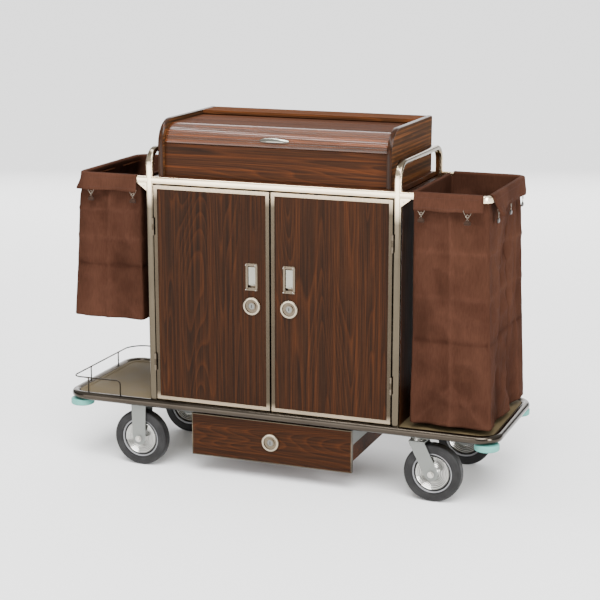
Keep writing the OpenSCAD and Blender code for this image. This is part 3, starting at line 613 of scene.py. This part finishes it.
def screws(name, body, places, radius):
    """Pan-head screws, each with a cross cut in its head, painted black as the shade in the cut.
    places are (point, outward).
    """
    heads, cuts = Shape(), Shape()
    for point, out in places:
        point, out = Vector(point), Vector(out)
        dome = [(radius, 0.0), (radius, 0.25 * radius), (0.86 * radius, 0.5 * radius),
                (0.5 * radius, 0.66 * radius), (0.12 * radius, 0.7 * radius)]
        heads.revolve(dome, point, out, 20)
        side = out.orthogonal().normalized()
        for along in (side, out.cross(side)):
            over = out.cross(along)
            base = point + out * 0.52 * radius
            reach, half, deep = 0.62 * radius, 0.12 * radius, 0.2 * radius
            rows = [[base + along * e + over * a + out * b
                     for a, b in ((-half, 0), (half, 0), (half, deep), (-half, deep))]
                    for e in (-reach, reach)]
            cuts.strip(rows)
    heads.piece(name, "bright_fitting", body, "bright_fitting")
    cuts.piece(f"{name}_cross_cuts", "shadow_gap", body, "bright_fitting", smooth=False)


def door_fittings(side):
    body = f"{side}_door"
    low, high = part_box(f"{side}_door_plates")
    panel_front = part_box(f"{side}_door_frame")[0].y
    x = (low.x + high.x) / 2
    plate_mid, plate_w, plate_h = 725 * MM, 43 * MM, 94 * MM
    lock_mid = 624 * MM
    face = panel_front - 0.4 * MM
    corners = [((x + sx * (plate_w / 2 - 4 * MM), face, plate_mid + sz * (plate_h / 2 - 4.5 * MM)),
                (0, -1, 0)) for sx in (-1, 1) for sz in (-1, 1)]
    screws(f"{side}_latch_screws", body, corners, 2.0 * MM)
    lock_bezel(f"{side}_lock_bezels", Vector((x, low.y, lock_mid)), body)


def lock_bezel(name, centre, body):
    """Broad bright ring round a lock's dish, and the small collar round its plug."""
    ring = Shape()
    profile = [(23.6, 0.7), (24.2, -0.4), (29.4, -0.4), (30.4, 0.3), (30.4, 1.2), (23.6, 1.2)]
    ring.revolve([(r * MM, h * MM) for r, h in profile], centre, (0, 1, 0), 64, closed=True)
    ring.ring(centre + Vector((0, 0.9 * MM, 0)), (0, 1, 0), 14.0 * MM, 0.8 * MM, 48, 8)
    ring.piece(name, "lock_ring", body, "bright_fitting")


def drawer_fittings():
    low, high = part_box("drawer_trim")
    centre = Vector(((low.x + high.x) / 2, low.y, (low.z + high.z) / 2))
    lock_bezel("drawer_lock_bezels", centre, "drawer")


def edge_band(side):
    """Half-round band round the edge of one of the top box's side panels."""
    low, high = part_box(f"box_{side}_side")
    x = (low.x + high.x) / 2
    half = (high.x - low.x) / 2 + 0.6 * MM
    radius = 85 * MM
    nose = Vector((x, low.y + radius, high.z - radius))
    path = [(low.y, low.z + 2 * MM, -1, 0), (low.y, (low.z + nose.z) / 2, -1, 0)]
    for k in range(17):
        a = math.radians(90 * k / 16)
        ny, nz = -math.cos(a), math.sin(a)
        path.append((nose.y + radius * ny, nose.z + radius * nz, ny, nz))
    path += [(high.y - 6 * MM, high.z, 0, 1), (high.y - 1.8 * MM, high.z - 1.8 * MM, 0.7, 0.7)]
    path += [(high.y, high.z - 6 * MM, 1, 0), (high.y, low.z + 2 * MM, 1, 0)]
    section = [(-half, -0.6), (-half, 0.5), (-0.6 * half, 1.7), (0, 2.1), (0.6 * half, 1.7),
               (half, 0.5), (half, -0.6)]
    rows = [[(x + a, y + ny * b * MM, z + nz * b * MM) for a, b in section]
            for y, z, ny, nz in path]
    band = Shape()
    band.strip(rows)
    band.piece(f"box_{side}_edge_band", "walnut_edge", "frame", "walnut_board")


def pull():
    """Bow handle on the curtain's lowest slat, thick in the middle and thin at its feet."""
    low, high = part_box("curtain_pull")
    base = Vector(((low.x + high.x) / 2, low.y + 8 * MM, high.z - 8 * MM))
    slope = math.radians(26)
    out = Vector((0, -math.cos(slope), math.sin(slope)))
    up = Vector((0, math.sin(slope), math.cos(slope)))
    rows = []
    for k in range(33):
        t = -math.cos(math.pi * k / 32)
        swell = 1 - t * t
        centre = base + Vector((52 * MM * t, 0, 0)) + out * (6 * swell * MM)
        wide, thick = (1.5 + 6.5 * math.sqrt(swell)) * MM, (1.2 + 1.2 * swell) * MM
        turns = [2 * math.pi * m / 16 for m in range(16)]
        rows.append([centre + up * wide * math.cos(a) + out * thick * math.sin(a) for a in turns])
    bow = Shape()
    bow.strip(rows)
    piece = bow.piece("curtain_bow_handle", "paddle_finish", "slat_1_body", "bright_fitting")
    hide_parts("curtain_pull")


def weld_beads():
    """Fillets of weld at both ends of the guard rail's posts."""
    beads = Shape()
    guard_low, guard_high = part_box("guard_rail")
    y_front = guard_low.y + 2.5 * MM
    x_end = guard_low.x + 2.5 * MM
    chassis_top = 255.2 * MM
    end_post = (-585 * MM, y_front)
    posts = [(-712 * MM, y_front), (x_end, -102 * MM), (x_end, 114 * MM)]
    for x, y in [end_post, *posts]:
        beads.ring(Vector((x, y, chassis_top)), (0, 0, 1), 3.1 * MM, 1.2 * MM, 24, 8)
    for x, y in posts:
        beads.ring(Vector((x, y, guard_high.z - 4.6 * MM)), (0, 0, 1), 2.6 * MM, 1.0 * MM, 20, 8)
    beads.piece("guard_rail_welds", "bright_wire", "frame", "bright_wire")


def gusset_screws():
    places = []
    for side, sign in (("left", -1), ("right", 1)):
        low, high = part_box(f"{side}_bag_rail")
        hoop_low, hoop_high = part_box(f"{side}_hoop")
        post = hoop_low.x if sign < 0 else hoop_high.x
        for y, out in ((low.y + 1.9 * MM, -1), (high.y - 1.9 * MM, 1)):
            places.append(((post + sign * 8 * MM, y, high.z - 33 * MM), (0, out, 0)))
    screws("gusset_screws", "frame", places, 2.4 * MM)


# ---------- bags ----------

CUFF_DROP = 56 * MM
HOOKS = {"right": (520 * MM, 674 * MM), "left": (513 * MM, 674 * MM)}
END_HOOKS = (-165 * MM, 0.0, 165 * MM)


def smooth_step(x):
    x = max(0.0, min(1.0, x))
    return x * x * (3 - 2 * x)


class Bag:
    """One cloth bag: a body that hangs inside its rail and a cuff folded out over it.

    u is the distance from the cart's middle towards the bag's outer end.
    """

    FLAP_ROWS = 10
    BODY_STEP = 7 * MM
    # from the body's outline out over the rail, and over the rod by the cabinet
    OVER = 19.6 * MM
    INNER_OVER = 11.4 * MM
    # from the rail's outside, and from the rod's side, in to the body's outline
    IN_RAIL = 17.8 * MM
    FROM_ROD = 12.6 * MM
    # the shade mark of plain cloth, which paints nothing, and the painted light and shade that a
    # metre of roughness adds to it, lighter where the cloth bulges out and darker where it dips in
    PLAIN_TONE = 0.4
    ROUGH_LIGHT_AND_SHADE = 38

    def __init__(self, side, swell, flare):
        self.side = side
        self.sign = -1 if side == "left" else 1
        rail_low, rail_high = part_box(f"{side}_bag_rail")
        cad_low, cad_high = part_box(f"{side}_bag")
        self.top = rail_high.z
        self.bottom = cad_low.z
        self.height = self.top - self.bottom
        end = max(abs(rail_low.x), abs(rail_high.x))
        self.u_in = min(abs(cad_low.x), abs(cad_high.x)) + self.FROM_ROD
        self.u_out = end - self.IN_RAIL
        self.half = (rail_high.y - rail_low.y) / 2 - self.IN_RAIL
        self.swell, self.flare = swell, flare
        self.seed = Vector((3.1, 7.7, 1.3)) * self.sign
        width = self.u_out - self.u_in
        self.counts = {"front": round(width / self.BODY_STEP) // 2 * 2,
                       "end": round(2 * self.half / self.BODY_STEP) // 2 * 2}
        self.columns = self.section(0.0)

    def section(self, depth):
        """Level outline at a share of the depth: (u, y, normal u, normal y, face, a)."""
        sag = math.sin(math.pi * min(1.0, depth * 1.15))
        u_in = self.u_in + 3 * MM * sag
        u_out = self.u_out + self.swell * smooth_step(depth * 6) + self.flare * depth ** 1.3
        half = self.half - 3 * MM * smooth_step(depth * 6) + 5 * MM * smooth_step(depth)
        corner = (26 - 19 * smooth_step(depth * 5)) * MM
        sharp = 7 * MM
        runs = [("front", (u_in, -half), (u_out, -half), (0, -1), sharp, corner),
                ("end", (u_out, -half), (u_out, half), (1, 0), corner, corner),
                ("back", (u_out, half), (u_in, half), (0, 1), corner, sharp),
                ("inner", (u_in, half), (u_in, -half), (-1, 0), sharp, sharp)]
        columns = []
        for face, start, stop, normal, first, last in runs:
            count = self.counts["front" if face in ("front", "back") else "end"]
            length = math.dist(start, stop)
            along = ((stop[0] - start[0]) / length, (stop[1] - start[1]) / length)
            for k in range(count + 1):
                s = first + (length - first - last) * k / count
                u, y = start[0] + along[0] * s, start[1] + along[1] * s
                columns.append((u, y, *normal, face, 2 * k / count - 1))
            centre = (stop[0] - along[0] * last - normal[0] * last,
                      stop[1] - along[1] * last - normal[1] * last)
            for k in range(1, 4):
                a = math.radians(90 * k / 4)
                nu = normal[0] * math.cos(a) + along[0] * math.sin(a)
                ny = normal[1] * math.cos(a) + along[1] * math.sin(a)
                columns.append((centre[0] + nu * last, centre[1] + ny * last, nu, ny,
                                "corner", 0.0))
        return columns

    def has_flap(self, j):
        """The cuff is cut at the corners by the cabinet and at the right bag's front corner."""
        u, y, nu, _, face, _ = self.columns[j]
        if face != "corner":
            return True
        if u < self.u_out - 40 * MM:
            return False
        return self.side == "left" or y > 0 or abs(nu - 0.7) > 0.2

    def top_of(self, j):
        face = self.columns[j][4]
        if face == "inner":
            return self.top - 5 * MM
        return self.top if self.has_flap(j) else self.top - 9 * MM

    def flap_point(self, j, q):
        """Point of the cuff: q runs from 0 at the hem to 1 where it turns over the rail."""
        u, y, nu, ny, face, _ = self.columns[j]
        inner = face == "inner"
        out = self.INNER_OVER if inner else self.OVER
        drop = 26 * MM if inner else CUFF_DROP
        top = self.top_of(j)
        place = Vector((u * 11, y * 11, 0)) + self.seed
        wave = noise.noise(place * 1.7)
        free = 1 - q
        near = smooth_step((-y / self.half - 0.2) / 0.8) if nu > 0.5 else 0.0
        lift = (22 if self.side == "right" else 14) * near
        slant = 45 * MM * near * free if self.side == "right" else 0.0
        hem = top - drop + 5.0 * MM * wave - (15 * MM * near if self.side == "right" else 0)
        ripple = 7.0 * noise.noise(place * 1.5 + Vector((0, 0, q * 1.5)))
        swing = free * (4.0 + ripple + lift * free) * MM
        hem_fold = 0.7 * MM if q < 0.26 else 0.0
        offset = out + max(0.0, swing) + (0.0 if inner else hem_fold)
        z = hem + q * (top - 2.5 * MM - hem)
        return Vector((self.sign * (u + nu * offset), y + ny * offset + slant, z))

    def over_points(self, j):
        """Points where the cuff passes over the rail, from outside to inside."""
        u, y, nu, ny, face, _ = self.columns[j]
        inner = face == "inner"
        out = self.INNER_OVER if inner else self.OVER
        top = self.top_of(j)
        rise = 1.5 * MM
        steps = ((0.97, -0.4 * MM), (0.85, rise), (0.5, rise + 0.2 * MM), (0.15, rise),
                 (0.03, -0.4 * MM))
        return [Vector((self.sign * (u + nu * out * share), y + ny * out * share, top + lift))
                for share, lift in steps]

    def folds(self, face, a, h, depth, span):
        """(offset along the normal, tone) of the pressed folds at a point of a face; the tone is
        painted light on folds that stand out and painted shade on folds pressed in.

        a runs from -1 to 1 across the face, h is the height above the bag's floor.
        """
        tones = []

        def line(distance, deep, wide):
            share = math.exp(-abs(distance) / wide)
            # painted light on an outward fold, painted shade on an inward one
            tones.append(share * (0.6 if deep > 0 else -0.6))
            return deep * share

        offset = 0.0
        across = a * span / 2
        lower, upper = 0.37 * self.height, 0.75 * self.height
        if face in ("front", "back"):
            offset += line(across, 4.5 * MM, 7 * MM)
            offset -= 3.5 * MM * (1 - abs(2 * abs(a) - 1)) * smooth_step(depth * 4)
            slant = (h - 1.08 * (span / 2 - abs(across))) / math.sqrt(2)
            if h < 0.62 * span:
                offset += line(slant, 4.0 * MM, 7 * MM)
                if slant < 0:
                    gusset = min(1.0, -slant / (20 * MM))
                    offset += 2.5 * MM * gusset
                    # painted light where the gusset bulges out
                    tones.append(0.3 * gusset)
            offset += 6 * MM * (1 - a * a) * math.sin(math.pi * min(1.0, depth * 1.05))
        elif face == "end":
            fold = 0.28
            reach = 1 - fold if a > fold else 1 + fold
            valley = 1 - abs(a - fold) / reach
            strength = smooth_step((depth - 0.04) * 5) * (1 - 0.55 * smooth_step(depth * 2 - 1))
            offset -= 22 * MM * valley * strength
            offset += line(a * span / 2 - fold * span / 2, -1.6 * MM, 4 * MM)
            offset += line((a + 0.52) * span / 2, 1.8 * MM, 4 * MM)
            offset += line((a - 0.72) * span / 2, 1.4 * MM, 4 * MM)
        if face != "corner":
            offset += line(h - lower, -4.5 * MM, 8 * MM) + line(h - upper, 4.0 * MM, 8 * MM)
            offset += line(h - 0.56 * self.height, 2.5 * MM, 8 * MM)
        return offset, sum(tones)

    def pinch(self, face, u, y, z):
        """How far the clips pull the cloth in, near where they hold it."""
        low = self.top - CUFF_DROP - 32 * MM
        if face == "end":
            spots = [(y - v, z - low) for v in END_HOOKS]
        elif face in ("front", "back"):
            spots = [(u - v, z - low) for v in HOOKS[self.side]]
        else:
            spots = []
        total = 0.0
        for across, up in spots:
            distance = math.hypot(across, up)
            pleat = 1 + 0.5 * math.cos(5 * math.atan2(up, across))
            total += 4.2 * MM * pleat * math.exp(-(distance / (30 * MM)) ** 2)
        return total

    def body_row(self, depth):
        z = self.top - depth * self.height
        h = z - self.bottom
        points, marks = [], []
        for j, (u, y, nu, ny, face, a) in enumerate(self.section(depth)):
            span = 2 * self.half if face in ("end", "inner") else self.u_out - self.u_in
            offset, tone = self.folds(face, a, h, depth, span)
            at = Vector((u, y, z)) + self.seed
            rough = 20.0 * MM * noise.noise(Vector((at.x * 9, at.y * 9, at.z * 4)))
            rough += 16.0 * MM * (0.3 - abs(noise.noise(at * 12)))
            rough += 5.0 * MM * (0.3 - abs(noise.noise(Vector((at.x, at.y, at.z * 0.6)) * 30)))
            calm = 0.12 if face == "corner" else 1 - 0.88 * abs(a) ** 3
            offset += rough * calm - self.pinch(face, u, y, z)
            if face == "inner":
                offset = min(offset, 2 * MM)
            offset *= smooth_step((depth - 0.004) * 7)
            start = self.top_of(j) - 3 * MM
            level = min(z, start)
            if depth < 0.06:
                level = min(level, start - depth * self.height * 0.8)
            points.append(Vector((self.sign * (u + nu * offset), y + ny * offset, level)))
            # painted light where the cloth bulges out, painted shade where it dips in
            tone += self.ROUGH_LIGHT_AND_SHADE * rough * calm
            marks.append(self.PLAIN_TONE + tone * smooth_step(depth * 12))
        return points, marks

    def build(self):
        columns = len(self.columns)
        rows = []
        for r in range(self.FLAP_ROWS):
            q = r / (self.FLAP_ROWS - 1)
            rows.append([self.flap_point(j, q) if self.has_flap(j) else None
                         for j in range(columns)])
        over = [self.over_points(j) if self.has_flap(j) else [None] * 5 for j in range(columns)]
        rows += [[over[j][k] for j in range(columns)] for k in range(5)]
        # the cuff is painted lighter than the body, as light falling on its outward tilt, with a
        # random spread
        marks = [[0.85 + 0.5 * noise.noise(Vector((c[0] * 16, c[1] * 16, 0)) + self.seed)
                  for c in self.columns] for _ in rows]
        steps = round(self.height / self.BODY_STEP)
        for k in range(steps):
            row, mark = self.body_row(0.004 + 0.988 * k / (steps - 1))
            rows.append(row)
            marks.append(mark)
        last = rows[-1]
        centre = sum(last, Vector()) / columns
        for share, lift in ((0.985, -2.0), (0.94, -3.2), (0.8, -2.6), (0.6, -2.0), (0.4, -2.2),
                            (0.2, -2.4), (0.06, -2.4)):
            ring = []
            for p in last:
                q = centre + (p - centre) * share
                dent = 1.2 * MM * noise.noise(q * 14)
                ring.append(Vector((q.x, q.y, self.bottom + 4.5 * MM + lift * MM + dent)))
            rows.append(ring)
            marks.append([self.PLAIN_TONE] * columns)
        points, flat_marks, number = [], [], {}
        for i, row in enumerate(rows):
            for j, p in enumerate(row):
                if p is not None:
                    number[i, j] = len(points)
                    points.append(p)
                    flat_marks.append(marks[i][j])
        faces = []
        for i in range(len(rows) - 1):
            for j in range(columns):
                m = (j + 1) % columns
                keys = [(i, j), (i, m), (i + 1, m), (i + 1, j)]
                if all(key in number for key in keys):
                    quad = tuple(number[key] for key in keys)
                    faces.append(quad if self.sign < 0 else tuple(reversed(quad)))
        final = tuple(number[len(rows) - 1, j] for j in range(columns))
        faces.append(final if self.sign < 0 else tuple(reversed(final)))
        shape = Shape()
        shape.add(points, faces)
        piece = shape.piece(f"{self.side}_cloth_bag", "bag_cloth", "frame", "bag_cloth",
                            sharp=180)
        fold_shade = piece.data.attributes.new("fold_shade", "FLOAT", "POINT")
        fold_shade.data.foreach_set("value", flat_marks)
        thick = piece.modifiers.new("thickness", "SOLIDIFY")
        thick.thickness = 1.4 * MM
        thick.offset = 0.0
        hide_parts(f"{self.side}_bag")
        self.stitches()

    def stitches(self):
        """Two rows of stitches on the cuff: along its hem and just below the rail."""
        thread = Shape()
        for q in (0.2, 0.8):
            for j in range(len(self.columns) - 1):
                faces = self.columns[j][4], self.columns[j + 1][4]
                if "inner" in faces or not (self.has_flap(j) and self.has_flap(j + 1)):
                    continue
                first, second = self.flap_point(j, q), self.flap_point(j + 1, q)
                out = Vector((self.sign * self.columns[j][2], self.columns[j][3], 0))
                run = second - first
                if run.length > 15 * MM:
                    continue
                rows = []
                for share in (0.18, 0.34, 0.66, 0.82):
                    lift = (0.75 if share in (0.18, 0.82) else 1.05) * MM
                    at = first + run * share + out * lift
                    up = Vector((0, 0, 0.4 * MM))
                    rows.append([at - up, at - out * 0.35 * MM, at + up, at + out * 0.3 * MM])
                thread.strip(rows)
        thread.piece(f"{self.side}_bag_stitches", "thread", "frame", "bag_cloth")


def clip(wires, jaws, centre, across, out):
    """One wire clip under the cuff: a bent loop, a cross wire and a pair of jaws."""
    up = Vector((0, 0, 1))

    def at(a, z, o=0.0):
        return centre + across * a * MM + up * z * MM + out * o * MM

    loop = [(-13, 9), (-14, 5), (-6, -10), (5, -25), (-5, -25), (6, -10), (14, 5), (13, 9)]
    depth = (0, 0.6, 1.6, 0.4, 0.4, 0.2, 0.6, 0)
    paths = [[at(a, z, o) for (a, z), o in zip(loop, depth)]]
    paths.append([at(4.5 * math.cos(t), -9 + 4.5 * math.sin(t), 1.2)
                  for t in (2 * math.pi * k / 12 for k in range(13))])
    wires += paths
    for o in (1.9, -1.3):
        rows = []
        for z, wide, bulge in ((-24, 5, 0), (-27, 9.5, 0.5), (-31, 11, 0.9), (-36, 11, 0.6),
                               (-38.5, 10, -0.3 if o > 0 else 0.3)):
            front = o + (bulge if o > 0 else -bulge)
            back = front - (1.1 if o > 0 else -1.1)
            rows.append([at(-wide, z, back), at(wide, z, back), at(wide, z, front),
                         at(0, z, front + (0.5 if o > 0 else -0.5)), at(-wide, z, front)])
        jaws.strip(rows)


def clips():
    wires, jaws = [], Shape()
    for side, sign in (("left", -1), ("right", 1)):
        low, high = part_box(f"{side}_bag_rail")
        z = high.z - CUFF_DROP
        end = low.x if sign < 0 else high.x
        for u in HOOKS[side]:
            for k in (-1, 1):
                clip(wires, jaws, Vector((sign * u, k * (high.y + 4.6 * MM), z)),
                     Vector((1, 0, 0)), Vector((0, k, 0)))
        for y in END_HOOKS:
            clip(wires, jaws, Vector((end + sign * 4.6 * MM, y, z)), Vector((0, 1, 0)),
                 Vector((sign, 0, 0)))
    curve = bpy.data.curves.new("bag_clip_wires", "CURVE")
    curve.dimensions = "3D"
    curve.bevel_depth = 0.85 * MM
    curve.bevel_resolution = 2
    curve.use_fill_caps = True
    for path in wires:
        spline = curve.splines.new("POLY")
        spline.points.add(len(path) - 1)
        for point, place in zip(spline.points, path):
            point.co = (*place, 1.0)
        spline.use_smooth = True
    curve.materials.append(LOOKS["clip_wire"])
    wire = place_object("bag_clip_wires", curve)
    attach(wire, "frame")
    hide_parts("bag_hooks")
    jaws.piece("bag_clip_jaws", "dark_fitting", "frame", "bright_fitting", 0.3 * MM)


# ---------- studio ----------


def area_light(name, place, size, power, aim=(0.0, 0.0, 0.55)):
    data = bpy.data.lights.new(name, "AREA")
    data.shape = "RECTANGLE"
    data.size, data.size_y = size
    data.energy = power
    lamp = place_object(name, data)
    lamp.location = place
    lamp.rotation_mode = "QUATERNION"
    lamp.rotation_quaternion = (Vector(aim) - Vector(place)).to_track_quat("-Z", "Y")


def sky_light():
    """Soft light from above with a darker band at the horizon, which gives metal its contrast."""
    world = bpy.data.worlds.new("studio_light")
    world.use_nodes = True
    tree = world.node_tree
    place = tree.nodes.new("ShaderNodeTexCoord").outputs["Generated"]
    parts = tree.nodes.new("ShaderNodeSeparateXYZ")
    tree.links.new(place, parts.inputs[0])
    ramp = tree.nodes.new("ShaderNodeValToRGB")
    tree.links.new(parts.outputs["Z"], ramp.inputs["Fac"])
    ends = ramp.color_ramp.elements
    ends[0].position, ends[0].color = 0.04, (0.16, 0.16, 0.16, 1)
    ends[1].position, ends[1].color = 0.6, (1, 1, 1, 1)
    tree.links.new(ramp.outputs[0], tree.nodes["Background"].inputs["Color"])
    tree.nodes["Background"].inputs["Strength"].default_value = 1.1
    bpy.context.scene.world = world


def studio():
    reach = 60.0
    mesh = bpy.data.meshes.new("studio_floor")
    mesh.from_pydata([(-reach, -reach, 0), (reach, -reach, 0), (reach, reach, 0),
                      (-reach, reach, 0)], [], [(0, 1, 2, 3)])
    floor = place_object("studio_floor", mesh)
    look = Look("studio_pale", (0.93, 0.93, 0.93), 0.8)
    mesh.materials.append(look.material)
    sky_light()
    sun = bpy.data.lights.new("sky", "SUN")
    sun.energy = 5.0
    sun.angle = math.radians(40)
    sky = place_object("sky", sun)
    sky.rotation_euler = (math.radians(32), math.radians(12), 0.0)
    area_light("key", (-1.5, -3.94, 1.25), (3.0, 2.1), 90, (-1.5, 0.0, 1.25))
    area_light("fill", (3.8, -2.0, 1.6), (1.0, 2.4), 150)
    area_light("strip", (-0.8, -0.75, 3.2), (3.0, 0.25), 50, (0.0, -0.2, 1.2))
    area_light("back", (-2.2, 5.8, 2.6), (10.0, 3.4), 330)


def photo_camera():
    data = bpy.data.cameras.new("camera")
    data.sensor_width = 36.0
    data.lens = 97.64
    camera = place_object("camera", data)
    camera.location = (2.002, -5.206, 1.901)
    camera.rotation_euler = (math.radians(76.864), 0.0, math.radians(20.957))
    bpy.context.scene.camera = camera


photo_camera()
studio()
dress_frame()
round_all_edges()
for corner in WHEELS:
    wheel(corner)
    axle_nuts(corner)
swivel_races()
top_rails()
for side in ("left", "right"):
    hoop(side)
    bag_rail(side)
for side in ("left", "right"):
    door_fittings(side)
    edge_band(side)
drawer_fittings()
pull()
weld_beads()
gusset_screws()
Bag("right", 4 * MM, 28 * MM).build()
Bag("left", 18 * MM, 34 * MM).build()
clips()
